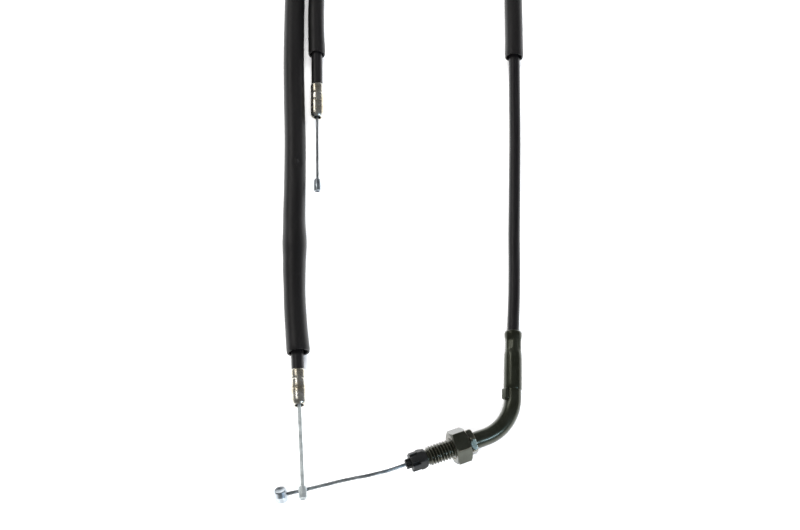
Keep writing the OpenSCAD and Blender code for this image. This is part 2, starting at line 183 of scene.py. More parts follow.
casing_r = 0.0025
thread_at, thread_axis = mounts["adjuster_thread"]
thread_out = 0.029                            # the thread's middle, from the corner
corner = thread_at - thread_out * thread_axis    # where the axes of the pipe's two legs meet
run_heading = math.radians(2)
run_axis = Vector((math.sin(run_heading), math.cos(run_heading), 0))
casing_seat = 0.031                           # the casing's end inside the crimp sleeve
main_route = [
    corner + casing_seat * run_axis, corner + 0.0424 * run_axis, (0.0470, -0.070, 0.0037),
    (0.0475, -0.057, 0.0034), (0.0478, -0.044, 0.0032), (0.0484, -0.028, 0.0031),
    (0.0490, -0.012, 0.0031), (0.0495, 0.002, 0.0031), (0.0498, 0.014, 0.0032),
    (0.0501, 0.028, 0.0034), (0.0504, 0.043, 0.0036), (0.0506, 0.058, 0.0037),
    (0.0508, 0.075, 0.0038), (0.0512, 0.090, 0.0038), (0.0516, 0.105, 0.0038),
    (0.0519, 0.120, 0.0038), (0.0520, 0.135, 0.0038), (0.0520, 0.150, 0.0037),
    (0.0520, 0.168, 0.0036),
]
coil_at, coil_r = Vector((0.022, 0.186, 0.0036)), 0.030
coil_turns, coil_steps, strand_gap = 2.25, 16, 0.0051


def coil_point(turn):
    """A point on the coil. Each turn lies flat for a quarter, then climbs on to the one below."""
    part = turn % 1
    climb = int(turn) + max(0.0, part - 0.25) / 0.75
    a = 2 * math.pi * turn
    return coil_at + Vector((coil_r * math.cos(a), coil_r * math.sin(a), strand_gap * climb))


main_coil = [coil_point(i / coil_steps) for i in range(int(coil_turns * coil_steps))]
tail_route = [
    (0.022, 0.216, 0.0138), (0.015, 0.216, 0.0134), (0.005, 0.216, 0.0118), (-0.005, 0.216, 0.0098),
    (-0.015, 0.216, 0.0080), (-0.0228, 0.215, 0.0072), (-0.030, 0.212, 0.0066),
    (-0.0362, 0.2072, 0.0061), (-0.041, 0.201, 0.0058), (-0.044, 0.1945, 0.0056),
    (-0.045, 0.188, 0.0056), (-0.045, 0.170, 0.0056), (-0.045, 0.1479, 0.0056),
]
main_line = smooth_line([*main_route, *main_coil, *tail_route], 0.0015)
main_casing = sweep("main_casing", main_line, lambda s, a: casing_r, sides=24)
fit(main_casing, vinyl_jacket, "cable", "vinyl_jacket",
    "main_run", "main_coil", "main_tail", "main_casing_end")


# Carburettor and oil pump casings. The same vinyl over conduit, 5.2 mm and 5 mm across.
# Each runs from its stop ferrule under the junction to its crimped end ferrule.
def tip_of(mount, past):
    """The nose of a ferrule, which is this far behind its nipple's mount, and its direction."""
    at, axis = mounts[mount]
    return at - past * axis, axis


carb_out, carb_nipple_l = 0.0344, 0.0053      # bare wire beyond the ferrule, and its nipple
oil_out, oil_nipple_l = 0.0304, 0.0058
carb_tip, carb_axis = tip_of("carb_nipple_barrel", carb_out + carb_nipple_l / 2)
oil_tip, oil_axis = tip_of("oil_nipple_barrel", oil_out + oil_nipple_l / 2)
ferrule_floor = 0.005
carb_route = [
    (-0.050, 0.104, 0.0056), (-0.050, 0.066, 0.0056), (-0.050, 0.064, 0.0056), (-0.0499, 0.055, 0.0054),
    (-0.0496, 0.042, 0.0050), (-0.0492, 0.032, 0.0047), (-0.0488, 0.022, 0.0045),
    (-0.0483, 0.012, 0.0043), (-0.0479, 0.002, 0.0042), (-0.0477, -0.008, 0.0041),
    (-0.0475, -0.018, 0.0041), (-0.0473, -0.030, 0.0041), (-0.0471, -0.042, 0.0041),
    (-0.0468, -0.056, 0.0041), (-0.0462, -0.070, 0.0040),
    *(carb_tip - back * carb_axis for back in (0.040, 0.038, 0.020, ferrule_floor)),
]
oil_route = [
    (-0.040, 0.104, 0.0056), (-0.040, 0.085, 0.0056), (-0.040, 0.066, 0.0056), (-0.040, 0.064, 0.0056),
    (-0.0399, 0.060, 0.0052), (-0.0397, 0.055, 0.0044),
    *(oil_tip - back * oil_axis for back in (0.037, 0.035, 0.028, 0.022, 0.016, 0.010, ferrule_floor)),
]
for name, route, radius, length, parts in (
        ("carburettor_casing", carb_route, 0.0026, 0.219,
         ("carb_casing_top", "carb_run", "carb_casing_end")),
        ("oil_pump_casing", oil_route, 0.0025, 0.085,
         ("oil_casing_top", "oil_run", "oil_casing_end"))):
    line = smooth_line(route, 0.0015)
    casing = sweep(name, line, lambda s, a: radius, sides=24)
    fit(casing, vinyl_jacket, "cable", "vinyl_jacket", *parts)


# Loose sleeves. Soft black vinyl tube cut to length and slid over each casing, against chafing.
# They lie on the casings and are not fixed, so each is a little out of round and shows its cut mouth.
sleeve_vinyl, shader = new_finish("soft_black_vinyl_tube", IOR=1.50, Specular_IOR_Level=0.4)
run = add(sleeve_vinyl, "TexCoord", out="UV")
place = add(sleeve_vinyl, "TexCoord", out="Object")
drawn = add(sleeve_vinyl, "Mapping", {"Vector": run, "Scale": (10, 25, 1)})  # 3 mm wide, 40 mm long
handled = add(sleeve_vinyl, "TexNoise", {"Vector": drawn, "Scale": 1.0, "Detail": 6.0})
worn = add(sleeve_vinyl, "ValToRGB", {"Fac": handled}, stops=[(0.35, "#090808"), (0.75, "#121111")])
specks = add(sleeve_vinyl, "TexNoise", {"Vector": place, "Scale": 1600.0, "Detail": 2.0})  # 0.6 mm dust
dust = add(sleeve_vinyl, "MapRange", {"Value": specks, "From Min": 0.70, "From Max": 0.80, "To Max": 0.30})
add(sleeve_vinyl, "Mix", {MIX_FACTOR: dust, MIX_A: worn, MIX_B: srgb("#4c4b49")}, out=MIX_OUT,
    to=shader["Base Color"], data_type="RGBA")
add(sleeve_vinyl, "MapRange", {"Value": handled, "To Min": 0.34, "To Max": 0.52}, to=shader["Roughness"])
peel = add(sleeve_vinyl, "TexNoise", {"Vector": place, "Scale": 450.0, "Detail": 3.0})  # 2 mm orange peel
add(sleeve_vinyl, "Bump", {"Height": peel, "Strength": 0.35, "Distance": 0.0002}, to=shader["Normal"])


def eased(stations, at):
    """A value between (place, value) stations, eased from each to the next."""
    for (a, low), (b, high) in zip(stations, stations[1:]):
        if at <= b:
            t = min(1.0, max(0.0, (at - a) / (b - a)))
            return low + (high - low) * t * t * (3 - 2 * t)
    return stations[-1][1]


nick_half_l, nick_half_a = 0.0011, 0.22    # metres along the sleeve and radians round it


def loose_sleeve(name, route, wall, swell, node, nick=None):
    """A sleeve along a route. swell gives its radius at distances from its far end, and nick is
    the (distance, angle, height) of a small cut that stands proud."""
    line = smooth_line(route, 0.0012)
    total = sum((b - a).length for a, b in zip(line, line[1:]))

    def outer(s, a):
        mouth = 0.00018 * max(0.0, 1 - min(s, total - s) / 0.0006) ** 2   # the cut edge, a little rubbed
        lump = 0.0
        if nick:
            far = ((s - nick[0]) / nick_half_l) ** 2 + ((a - nick[1]) / nick_half_a) ** 2
            lump = nick[2] * (1 - 1.6 * far) * math.exp(-far)
        return eased(swell, s) * (1 + 0.012 * math.cos(2 * a + 9 * s)) - mouth + lump

    piece = sweep(name, line, outer, lambda s, a: eased(swell, s) - wall, sides=48)
    return fit(piece, sleeve_vinyl, "cable", "vinyl_sleeve", node)


loose_sleeve(
    "main_loose_sleeve",
    [(0.0503, 0.045, 0.0042), (0.0506, 0.058, 0.0042), (0.0508, 0.075, 0.0042), (0.0512, 0.090, 0.0042),
     (0.0516, 0.105, 0.0042), (0.0519, 0.120, 0.0042), (0.0520, 0.135, 0.0042), (0.0520, 0.148, 0.0042)],
    0.0008, [(0, 0.0042), (0.012, 0.0041), (0.1, 0.0042)], "main_sleeve")
loose_sleeve(
    "carburettor_loose_sleeve",
    [(-0.0500, 0.086, 0.0056), (-0.0499, 0.061, 0.0053), (-0.0496, 0.042, 0.0050), (-0.0488, 0.022, 0.0049),
     (-0.0479, 0.002, 0.0048), (-0.0475, -0.018, 0.0048), (-0.0472, -0.038, 0.0050),
     (-0.0469, -0.044, 0.0053), (-0.0465, -0.063, 0.0051), (-0.0460, -0.074, 0.0049),
     (-0.0449, -0.087, 0.0049), (-0.0439, -0.0964, 0.0051)],
    0.0009,
    [(0, 0.0046), (0.06, 0.0047), (0.105, 0.00475), (0.122, 0.00485), (0.1335, 0.00525), (0.1425, 0.0049),
     (0.155, 0.0046), (0.172, 0.0047), (0.1825, 0.0049)],
    "carb_sleeve", nick=(0.0960, math.pi + 0.25, 0.0008))
loose_sleeve(
    "oil_pump_loose_sleeve",
    [(-0.040, 0.084, 0.0056), (-0.040, 0.066, 0.0056), (-0.0399, 0.060, 0.0052), (-0.0397, 0.055, 0.0044),
     oil_tip - 0.035 * oil_axis, (-0.03935, 0.0466, 0.0039)],
    0.0008, [(0, 0.0037), (0.025, 0.0037), (0.038, 0.0039)], "oil_sleeve")


# Coil ties. Two black nylon straps round the strands of the coil, pulled snug and clipped.
nylon_tie, shader = new_finish("black_nylon_strap", IOR=1.53, Roughness=0.5)
place = add(nylon_tie, "TexCoord", out="Object")
grain = add(nylon_tie, "TexNoise", {"Vector": place, "Scale": 900.0, "Detail": 4.0})
add(nylon_tie, "ValToRGB", {"Fac": grain}, to=shader["Base Color"],
    stops=[(0.3, "#121212"), (0.8, "#2a2a2a")])
add(nylon_tie, "MapRange", {"Value": grain, "To Min": 0.42, "To Max": 0.60}, to=shader["Roughness"])
add(nylon_tie, "Bump", {"Height": grain, "Strength": 0.3, "Distance": 0.0001}, to=shader["Normal"])

tie_width, tie_t, tie_steps = 0.0040, 0.0008, 48
for side, turn in (("left", 205), ("right", 295)):
    a = math.radians(turn)
    out, along = Vector((math.cos(a), math.sin(a), 0)), Vector((-math.sin(a), math.cos(a), 0))
    low = coil_point(turn / 360).z
    centre = coil_at + coil_r * out
    strap = []
    for k in range(tie_steps):
        b = 2 * math.pi * k / tie_steps
        reach = Vector((math.cos(b), math.sin(b)))
        shift = math.copysign(min(1.0, abs(reach.y) * 3), reach.y)    # from the lower strand to the upper
        at = out * (casing_r * reach.x) + Vector((
            0, 0, low + strand_gap / 2 + strand_gap / 2 * shift + casing_r * reach.y))
        at += Vector((centre.x, centre.y, 0))
        away = (out * reach.x + Vector((0, 0, reach.y))) * tie_t
        strap.append([at + along * w + away * t for w, t in (
            (-0.5 * tie_width, 0.05), (-0.44 * tie_width, 0.95),
            (0.44 * tie_width, 0.95), (0.5 * tie_width, 0.05))])
    loop = skin(f"coil_strap_{side}", strap, [k * 0.0006 for k in range(tie_steps)], closed=True)
    fit(loop, nylon_tie, "cable", "black_plastic", f"coil_tie_{side}")


# Junction. A moulded black nylon box with a snap cap, where one cable becomes two. The slider in it
# takes the three inner nipples, and a plain stop ferrule holds each casing in its socket.
moulded_nylon, shader = new_finish("moulded_black_nylon", IOR=1.50, Specular_IOR_Level=0.4)
place = add(moulded_nylon, "TexCoord", out="Object")
cloud = add(moulded_nylon, "TexNoise", {"Vector": place, "Scale": 160.0, "Detail": 5.0})
add(moulded_nylon, "ValToRGB", {"Fac": cloud}, to=shader["Base Color"],
    stops=[(0.3, "#090909"), (0.8, "#151515")])
# 0.3 mm spark grain
spark = add(moulded_nylon, "TexNoise", {"Vector": place, "Scale": 3000.0, "Detail": 2.0})
add(moulded_nylon, "MapRange", {"Value": spark, "To Min": 0.38, "To Max": 0.62}, to=shader["Roughness"])
add(moulded_nylon, "Bump", {"Height": spark, "Strength": 0.25, "Distance": 0.0001}, to=shader["Normal"])

acetal, shader = new_finish("natural_acetal", IOR=1.48, Subsurface_Weight=0.2, Subsurface_Scale=0.002)
place = add(acetal, "TexCoord", out="Object")
flow = add(acetal, "TexNoise", {"Vector": place, "Scale": 220.0, "Detail": 3.0})
add(acetal, "ValToRGB", {"Fac": flow}, to=shader["Base Color"], stops=[(0.3, "#dedbcd"), (0.8, "#ece9de")])
add(acetal, "MapRange", {"Value": flow, "To Min": 0.30, "To Max": 0.45}, to=shader["Roughness"])

nickel, shader = new_finish("nickel_plated_brass", Metallic=1.0)
place = add(nickel, "TexCoord", out="Object")
patch = add(nickel, "TexNoise", {"Vector": place, "Scale": 260.0, "Detail": 4.0})
add(nickel, "ValToRGB", {"Fac": patch}, to=shader["Base Color"],
    stops=[(0.30, "#b8ae98"), (0.60, "#dedbd1")])
rubbed = add(nickel, "TexNoise", {"Vector": place, "Scale": 700.0, "Detail": 3.0})  # 1.4 mm handling marks
add(nickel, "MapRange", {"Value": rubbed, "To Min": 0.20, "To Max": 0.36}, to=shader["Roughness"])
add(nickel, "Bump", {"Height": rubbed, "Strength": 0.05, "Distance": 0.0001}, to=shader["Normal"])


def dress(node, finish, edge=0.0):
    """Gives a CAD node a finish, and softens its edges by this radius."""
    piece = frame["nodes"][node]
    piece.data.materials.clear()
    piece.data.materials.append(finish)
    if edge:
        bevel = piece.modifiers.new("softened_edges", "BEVEL")
        bevel.width, bevel.segments, bevel.angle_limit = edge, 2, math.radians(50)


dress("splitter_body", moulded_nylon, 0.0004)
dress("splitter_cap", moulded_nylon, 0.0004)
dress("splitter_slider", acetal, 0.0002)
for node in ("main_stop_ferrule", "carb_stop_ferrule", "oil_stop_ferrule"):
    dress(node, nickel)


# Inside the casings. A flat steel wire wound into a conduit, and a drawn polyethylene liner in it,
# both cut off square where the casing sits in its ferrule.
conduit_steel, shader = new_finish("wound_flat_steel_wire", Metallic=1.0)
place = add(conduit_steel, "TexCoord", out="Object")
coils = add(conduit_steel, "TexWave", {"Vector": place, "Scale": winding_scale}, bands_direction="Y")
add(conduit_steel, "ValToRGB", {"Fac": coils}, to=shader["Base Color"],
    stops=[(0.0, "#4d4e50"), (0.5, "#a3a5a8")])
add(conduit_steel, "MapRange", {"Value": coils, "To Min": 0.50, "To Max": 0.30}, to=shader["Roughness"])
add(conduit_steel, "Bump", {"Height": coils, "Strength": 0.8, "Distance": 0.0002}, to=shader["Normal"])

liner_plastic, shader = new_finish("drawn_polyethylene", IOR=1.51, Subsurface_Weight=0.3,
                                   Subsurface_Scale=0.001)
place = add(liner_plastic, "TexCoord", out="Object")
haze = add(liner_plastic, "TexNoise", {"Vector": place, "Scale": 300.0, "Detail": 3.0})
add(liner_plastic, "ValToRGB", {"Fac": haze}, to=shader["Base Color"],
    stops=[(0.3, "#cdc8b6"), (0.8, "#e2dece")])
add(liner_plastic, "MapRange", {"Value": haze, "To Min": 0.35, "To Max": 0.50}, to=shader["Roughness"])
for end in ("main", "carb", "oil"):
    dress(end + "_conduit", conduit_steel)
    dress(end + "_liner", liner_plastic)
dress("pipe_liner", liner_plastic)


# Wires. Galvanised steel strand: seven heavy wires to the grip, nineteen fine ones to the pumps.
# They are laid up in a right-hand twist, cut to length and cast into their nipples.
# The handled strand is dulled by an oil film; the carburettor's is fresh, pale and nearly matt
wire_finishes = []
for name, metallic, dull, clean in (("oiled_steel_strand", 1.0, "#8d9193", "#b9bdbf"),
                                    ("fresh_zinc_strand", 0.75, "#a2a8a7", "#c8cecd")):
    finish, shader = new_finish(name, Metallic=metallic)
    run = add(finish, "TexCoord", out="UV")
    place = add(finish, "TexCoord", out="Object")
    oil_film = add(finish, "TexNoise", {"Vector": place, "Scale": 330.0, "Detail": 5.0})  # 3 mm smears
    add(finish, "ValToRGB", {"Fac": oil_film}, to=shader["Base Color"], stops=[(0.30, dull), (0.62, clean)])
    add(finish, "MapRange", {"Value": oil_film, "To Min": 0.52, "To Max": 0.36}, to=shader["Roughness"])
    drawn = add(finish, "Mapping", {"Vector": run, "Scale": (60, 400, 1)})
    scores = add(finish, "TexNoise", {"Vector": drawn, "Scale": 1.0, "Detail": 3.0})
    add(finish, "Bump", {"Height": scores, "Strength": 0.15, "Distance": 0.00005}, to=shader["Normal"])
    wire_finishes.append(finish)
strand_steel, fresh_strand = wire_finishes


def strand(wire_r, count, lay):
    """The outline of a strand: count wires round a core, twisted once in a lay."""
    single = wire_r / (1 + 1 / math.sin(math.pi / count))
    ring = wire_r - single

    def radius(s, a):
        part = 2 * math.pi / count
        off = (a + 2 * math.pi * s / lay) % part - part / 2
        return ring * math.cos(off) + math.sqrt(max(0.0, single**2 - (ring * math.sin(off)) ** 2))
    return radius


def straight(start, axis, length, step):
    """Points a step apart on a straight line."""
    count = max(2, round(length / step))
    return [start + axis * (length * i / count) for i in range(count + 1)]


wire_hidden, wire_held = 0.009, 0.0045    # the wire's ends inside its ferrule and its nipple
for node in ("main_inner_wire", "carb_inner_wire", "oil_inner_wire"):
    dress(node, strand_steel)
for name, finish, tip, axis, radius, out, body, node in (
        ("carburettor_wire", fresh_strand, carb_tip, carb_axis, 0.0008, carb_out, "carb_pull", "carb_wire"),
        ("oil_pump_wire", strand_steel, oil_tip, oil_axis, 0.0006, oil_out, "oil_pull", "oil_wire")):
    line = straight(tip - wire_hidden * axis, axis, wire_hidden + out + wire_held, 0.0006)
    piece = sweep(name, line, strand(radius, 12, 0.011), sides=72)
    fit(piece, finish, body, "steel_wire", node)


# Nipples. Zinc cast round the wire's upset end, with a faint parting line and a cold-shut skin.
# The drum and oil pump nipple are handled and grey, and the carburettor's has its pale new skin.
nipple_finishes = []
for name, metallic, dull, clean in (("handled_cast_zinc", 1.0, "#8e959b", "#bdc4c9"),
                                    ("new_cast_zinc", 0.75, "#999fa0", "#c0c6c6")):
    finish, shader = new_finish(name, Metallic=metallic)
    place = add(finish, "TexCoord", out="Object")
    skin_flow = add(finish, "TexNoise", {"Vector": place, "Scale": 420.0, "Detail": 5.0})  # 2 mm flow marks
    add(finish, "ValToRGB", {"Fac": skin_flow}, to=shader["Base Color"],
        stops=[(0.30, dull), (0.62, clean)])
    add(finish, "MapRange", {"Value": skin_flow, "To Min": 0.42, "To Max": 0.26}, to=shader["Roughness"])
    pits = add(finish, "TexNoise", {"Vector": place, "Scale": 2600.0, "Detail": 2.0})
    add(finish, "Bump", {"Height": pits, "Strength": 0.25, "Distance": 0.0001}, to=shader["Normal"])
    nipple_finishes.append(finish)
cast_zinc, new_zinc = nipple_finishes


def placed(origin, axis, up):
    """A frame at origin with its Z along the axis and its Y as near up as it can be."""
    x = up.cross(axis).normalized()
    y = axis.cross(x)
    return Matrix(((x.x, y.x, axis.x, origin.x), (x.y, y.y, axis.y, origin.y),
                   (x.z, y.z, axis.z, origin.z), (0, 0, 0, 1)))


def turned(name, place, profile, shape=None, sides=64, closed=False, sharp=35):
    """A piece turned about its frame's Z from a profile of (radius, height). shape, if it is given,
    changes the radius by height and angle."""
    rings, marks, so_far, last = [], [], 0.0, profile[0]
    for r, z in profile:
        so_far += math.dist((r, z), last)
        last = (r, z)
        marks.append(so_far)
        ring = []
        for k in range(sides):
            a = 2 * math.pi * k / sides
            reach = shape(r, z, a) if shape else r
            ring.append(place @ Vector((reach * math.cos(a), reach * math.sin(a), z)))
        rings.append(ring)
    return skin(name, rings, marks, closed=closed, sharp=sharp)


UP = Vector((0, 0, 1))
for name, finish, tip, axis, radius, length, out, body, node in (
        ("carburettor_nipple", new_zinc, carb_tip, carb_axis, 0.0017, carb_nipple_l, carb_out,
         "carb_pull", "carb_nipple"),
        ("oil_pump_nipple", cast_zinc, oil_tip, oil_axis, 0.0015, oil_nipple_l, oil_out,
         "oil_pull", "oil_nipple")):
    barrel = [(0.0004, 0.0002), (radius - 0.0005, 0.0), (radius - 0.0001, 0.0003), (radius, 0.0006),
              (radius, length - 0.0006), (radius - 0.0001, length - 0.0002), (radius - 0.0004, length),
              (radius - 0.0006, length), (radius - 0.0008, length - 0.0007), (0.0004, length - 0.0009)]
    piece = turned(name, placed(tip + out * axis, axis, UP), barrel)
    fit(piece, finish, body, "zinc_nipple", node)
for node in ("main_inner_nipple", "carb_inner_nipple", "oil_inner_nipple"):
    dress(node, cast_zinc, 0.0002)


# End ferrules. Nickel plated brass cups, rolled on to the casing with two rows of crimp dots,
# with a rounded nose that the wire comes out of. The nose's bore is coloured near-black as painted shade in
# the recess.
# Painted shade: a near-black finish for the ferrule's nose bore, standing for the shade inside the recess
painted_bore_shade, shader = new_finish("painted_bore_shade", IOR=1.47)
place = add(painted_bore_shade, "TexCoord", out="Object")
bore_shade_mottle = add(painted_bore_shade, "TexNoise", {"Vector": place, "Scale": 1200.0, "Detail": 3.0})
add(painted_bore_shade, "ValToRGB", {"Fac": bore_shade_mottle}, to=shader["Base Color"],
    stops=[(0.3, "#050505"), (0.8, "#11100e")])
add(painted_bore_shade, "MapRange", {"Value": bore_shade_mottle, "To Min": 0.45, "To Max": 0.7}, to=shader["Roughness"])


def end_ferrule(name, place, radius, length, rows, hole, casing, node):
    """A ferrule whose nose is at the frame's origin and whose mouth is at minus its length."""
    def shape(r, z, a):
        if r < radius - 0.0002:
            return r
        dent = 0.0
        for row in rows:
            near = max(0.0, 1 - abs(z + row) / 0.00055)
            dent += near * (0.00010 + 0.00010 * (0.5 + 0.5 * math.cos(14 * a)))
        return r - dent - 0.00002 * math.sin(3 * a + 500 * z)

    sides, step = 84, 0.00018
    steps = [-length + 0.0006 + i * step for i in range(int((length - 0.0026) / step))]
    profile = [(casing, -length), (radius - 0.0002, -length), (radius, -length + 0.0003),
               *((radius, z) for z in steps), (radius, -0.0017), (radius - 0.0002, -0.0010),
               (radius - 0.0005, -0.0003), (radius - 0.0009, 0.0), (hole + 0.0010, -0.0001),
               (hole + 0.0008, -0.0004), (hole + 0.0008, -0.0022), (hole, -0.0024), (hole, -ferrule_floor),
               (casing, -ferrule_floor)]
    piece = turned(name, place, profile, shape, sides=sides, closed=True)
    fit(piece, nickel, "cable", "nickel_ferrule", node)
    # The nose bore's faces get the near-black painted shade finish
    piece.data.materials.append(painted_bore_shade)
    bore = profile.index((hole + 0.0010, -0.0001))
    for face in piece.data.polygons[bore * sides:]:
        face.material_index = 1


end_ferrule("carburettor_ferrule", placed(carb_tip, carb_axis, UP), 0.0032, 0.0154, (0.0114, 0.0072),
            0.0009, 0.00262, "carb_ferrule")
end_ferrule("oil_pump_ferrule", placed(oil_tip, oil_axis, UP), 0.0029, 0.0164, (0.0120, 0.0084),
            0.0007, 0.00252, "oil_ferrule")


# Bent pipe. Drawn steel tube bent through 67 degrees, zinc plated and chromated olive black, with
# a crimp sleeve brazed on for the casing and a small tab that stops it turning in its housing.
# The threaded parts have their corners and crests mixed to pale metal, partly rubbed wear and partly a
# painted highlight
chromates = []
for name, coat, highlight_and_wear in (("olive_black_chromated_steel", 0.30, 0.0),
                         ("chromate_with_painted_crest_highlight", 0.55, 0.85)):
    finish, shader = new_finish(name, Metallic=0.9, Coat_Weight=coat, Coat_Roughness=0.18)
    place = add(finish, "TexCoord", out="Object")
    bath = add(finish, "TexNoise", {"Vector": place, "Scale": 110.0, "Detail": 4.0})  # 9 mm bath stains
    tone = add(finish, "ValToRGB", {"Fac": bath}, stops=[(0.30, "#26271a"), (0.70, "#41443a")])
    # Painted highlight: pointiness mixes crests and corners to pale metal, partly rubbed wear and partly a
    # painted highlight on the thread crests
    corners = add(finish, "NewGeometry", out="Pointiness")
    crest_highlight_and_rub = add(finish, "MapRange", {"Value": corners, "From Min": 0.53, "From Max": 0.61, "To Max": highlight_and_wear})
    add(finish, "Mix", {MIX_FACTOR: crest_highlight_and_rub, MIX_A: tone, MIX_B: srgb("#c0b8a4")}, out=MIX_OUT,
        to=shader["Base Color"], data_type="RGBA")
    plating = add(finish, "TexNoise", {"Vector": place, "Scale": 600.0, "Detail": 3.0})  # 1.7 mm bloom
    add(finish, "MapRange", {"Value": plating, "To Min": 0.30, "To Max": 0.35}, to=shader["Roughness"])
    add(finish, "Bump", {"Height": plating, "Strength": 0.02, "Distance": 0.0001}, to=shader["Normal"])
    chromates.append(finish)
chromate, highlit_rubbed_chromate = chromates

pipe_r, pipe_bore, bend_r, bend_angle = 0.00355, 0.0021, 0.019, math.radians(67)
crimp_start, crimp_end, collar_start = 0.016, 0.0414, 0.0176
bend_reach = bend_r * math.tan(bend_angle / 2)
inward = (thread_axis + math.cos(bend_angle) * run_axis) / math.sin(bend_angle)
plane_up = run_axis.cross(thread_axis).normalized()
pipe_line = [corner + run_axis * l for l in (crimp_start, 0.0148, 0.0137)]
pipe_line += [corner + run_axis * (bend_reach - bend_r * math.sin(a)) + inward * bend_r * (1 - math.cos(a))
              for a in (bend_angle * i / 40 for i in range(41))]
pipe_line += [corner + thread_axis * l for l in (0.0138, 0.0150, 0.0163, collar_start)]
pipe = sweep("bent_pipe", pipe_line, lambda s, a: pipe_r, lambda s, a: pipe_bore, sides=64)
fit(pipe, chromate, "cable", "chromated_steel", "elbow_pipe")
dress("pipe_spigot", chromate)


def crimped(r, z, a):
    """Six shallow flats pressed into the crimp sleeve where it grips the casing."""
    if r < 0.0030:
        return r
    waist_middle, waist_half = 0.0355, 0.0038
    pressed = max(0.0, 1 - abs(z - waist_middle) / waist_half)
    return r - 0.00022 * min(1.0, 2 * pressed) * (0.5 + 0.5 * math.cos(6 * a))


crimp_profile = [(0.0009, crimp_start), (0.0036, crimp_start), (0.00375, crimp_start + 0.0003)]
crimp_profile += [(0.00380, 0.018), (0.00380, 0.022), (0.00378, 0.026), (0.00375, 0.0290),
                  (0.00368, 0.0306)]
waist = [(0.0306, 0.00368), (0.0335, 0.00346), (0.0370, 0.00344), (0.0392, 0.00366)]
crimp_profile += [(eased(waist, z), z) for z in (0.0310 + 0.0004 * i for i in range(21))]
crimp_profile += [(0.00370, 0.0396), (0.00374, 0.0402), (0.00370, 0.0408), (0.00352, crimp_end - 0.0002),
                  (0.0033, crimp_end), (0.00285, crimp_end), (0.00262, crimp_end - 0.0004),
                  (0.00255, casing_seat), (0.0009, casing_seat)]
crimp = turned("crimped_sleeve", placed(corner, run_axis, plane_up), crimp_profile, crimped,
               sides=72, closed=True)
fit(crimp, chromate, "cable", "chromated_steel", "crimp_sleeve")

tab_out = (inward * math.cos(math.radians(30)) + plane_up * math.sin(math.radians(30))).normalized()
tab_across = run_axis.cross(tab_out)
tab_rings = []
for along, short in ((0.0114, 0.35), (0.0116, 0.12), (0.0120, 0.0),
                     (0.0154, 0.0), (0.0157, 0.1), (0.01585, 0.3)):
    top, half = 0.00495 - 0.001 * short, 0.0015 - 0.0006 * short
    tab_rings.append([corner + run_axis * along + tab_out * r + tab_across * w for r, w in (
        (0.0030, -half), (top - 0.0003, -half), (top, -half + 0.0003), (top + 0.00006, 0),
        (top, half - 0.0003), (top - 0.0003, half), (0.0030, half), (0.0029, 0))])
tab = skin("locating_tab", tab_rings, [0.0008 * i for i in range(6)])
fit(tab, chromate, "cable", "chromated_steel", "index_tab")


# Adjuster. A threaded steel sleeve with a small hexagon to turn it by, and its lock nut.
# The thread is rolled, M8 with 1.25 mm lead, and plated with the rest; its crests are painted pale, partly
# rubbed wear and partly a painted highlight.
def hexagon(flats, turn, a):
    """The radius of a hexagon across flats, at an angle."""
    part = math.pi / 3
    return flats / 2 / math.cos((a - turn) % part - part / 2)


pitch, major_r, thread_depth, collar_flats = 0.00125, 0.0040, 0.00068, 0.0094
thread_start, thread_end, roll = 0.020, 0.038, math.radians(3)


def threaded(r, z, a):
    """The collar's hexagon up to the thread, and the thread's helix beyond it."""
    if r < 0.0032:
        return r
    if z <= thread_start:
        face = min(z - collar_start, thread_start - z)
        return min(r, hexagon(collar_flats, roll + math.pi / 6, a), 0.0049 + 1.7 * face)
    part = (z / pitch - a / (2 * math.pi)) % 1
    ridge = min(1.0, max(0.0, 1.3 * (1 - abs(2 * part - 1)) - 0.12))
    lead_in = min(1.0, (z - thread_start) / 0.0012)
    top = major_r - 0.0009 * max(0.0, 1 - (thread_end - z) / 0.0009)
    return min(top, major_r - thread_depth * (1 - ridge * lead_in))


sleeve_bore = 0.00285
adjuster_profile = [(sleeve_bore, collar_start), (0.0046, collar_start)]
adjuster_profile += [(0.0060, collar_start + 0.0001 + 0.00045 * i) for i in range(6)]
adjuster_profile += [(0.0060, thread_start)]
adjuster_profile += [(major_r, thread_start + 0.00002 + 0.0001 * i) for i in range(180)]
adjuster_profile += [(0.0033, thread_end), (sleeve_bore, thread_end)]
thread_place = placed(corner, thread_axis, plane_up)
adjuster = turned("adjuster_sleeve", thread_place, adjuster_profile, threaded, sides=72, closed=True)
fit(adjuster, highlit_rubbed_chromate, "adjuster", "chromated_steel", "threaded_sleeve")

nut_start, nut_t, nut_flats = 0.0206, 0.0065, 0.013


def nut_outline(r, z, a):
    """A hexagon nut's outline, with both faces chamfered at 30 degrees."""
    if r < 0.0052:
        return r
    face = min(z - nut_start, nut_start + nut_t - z)
    return min(hexagon(nut_flats, roll, a), 0.00625 + 1.73 * face)


past_corner = 0.0070    # beyond the hexagon, whose outline then decides
nut_half = [(0.00405, 0.0005), (0.0046, 0), (0.0058, 0), (past_corner, 0.00005)]
nut_half += [(past_corner, 0.0001 * i) for i in range(1, 9)]
nut_profile = [(r, nut_start + depth) for r, depth in nut_half]
nut_profile += [(past_corner, nut_start + nut_t / 2)]
nut_profile += [(r, nut_start + nut_t - depth) for r, depth in reversed(nut_half)]
nut = turned("lock_nut_piece", thread_place, nut_profile, nut_outline, sides=96, closed=True, sharp=22)
fit(nut, highlit_rubbed_chromate, "nut", "chromated_steel", "lock_nut")


# End cap. Moulded black plastic, pushed on to the pipe's end against dirt, with grip slots round
# its rim and a small castellated nose that the wire comes out of.
cap_start, cap_end, nose_end = 0.0387, 0.0452, 0.0473
cap_bore, cap_floor = 0.00285, 0.0432


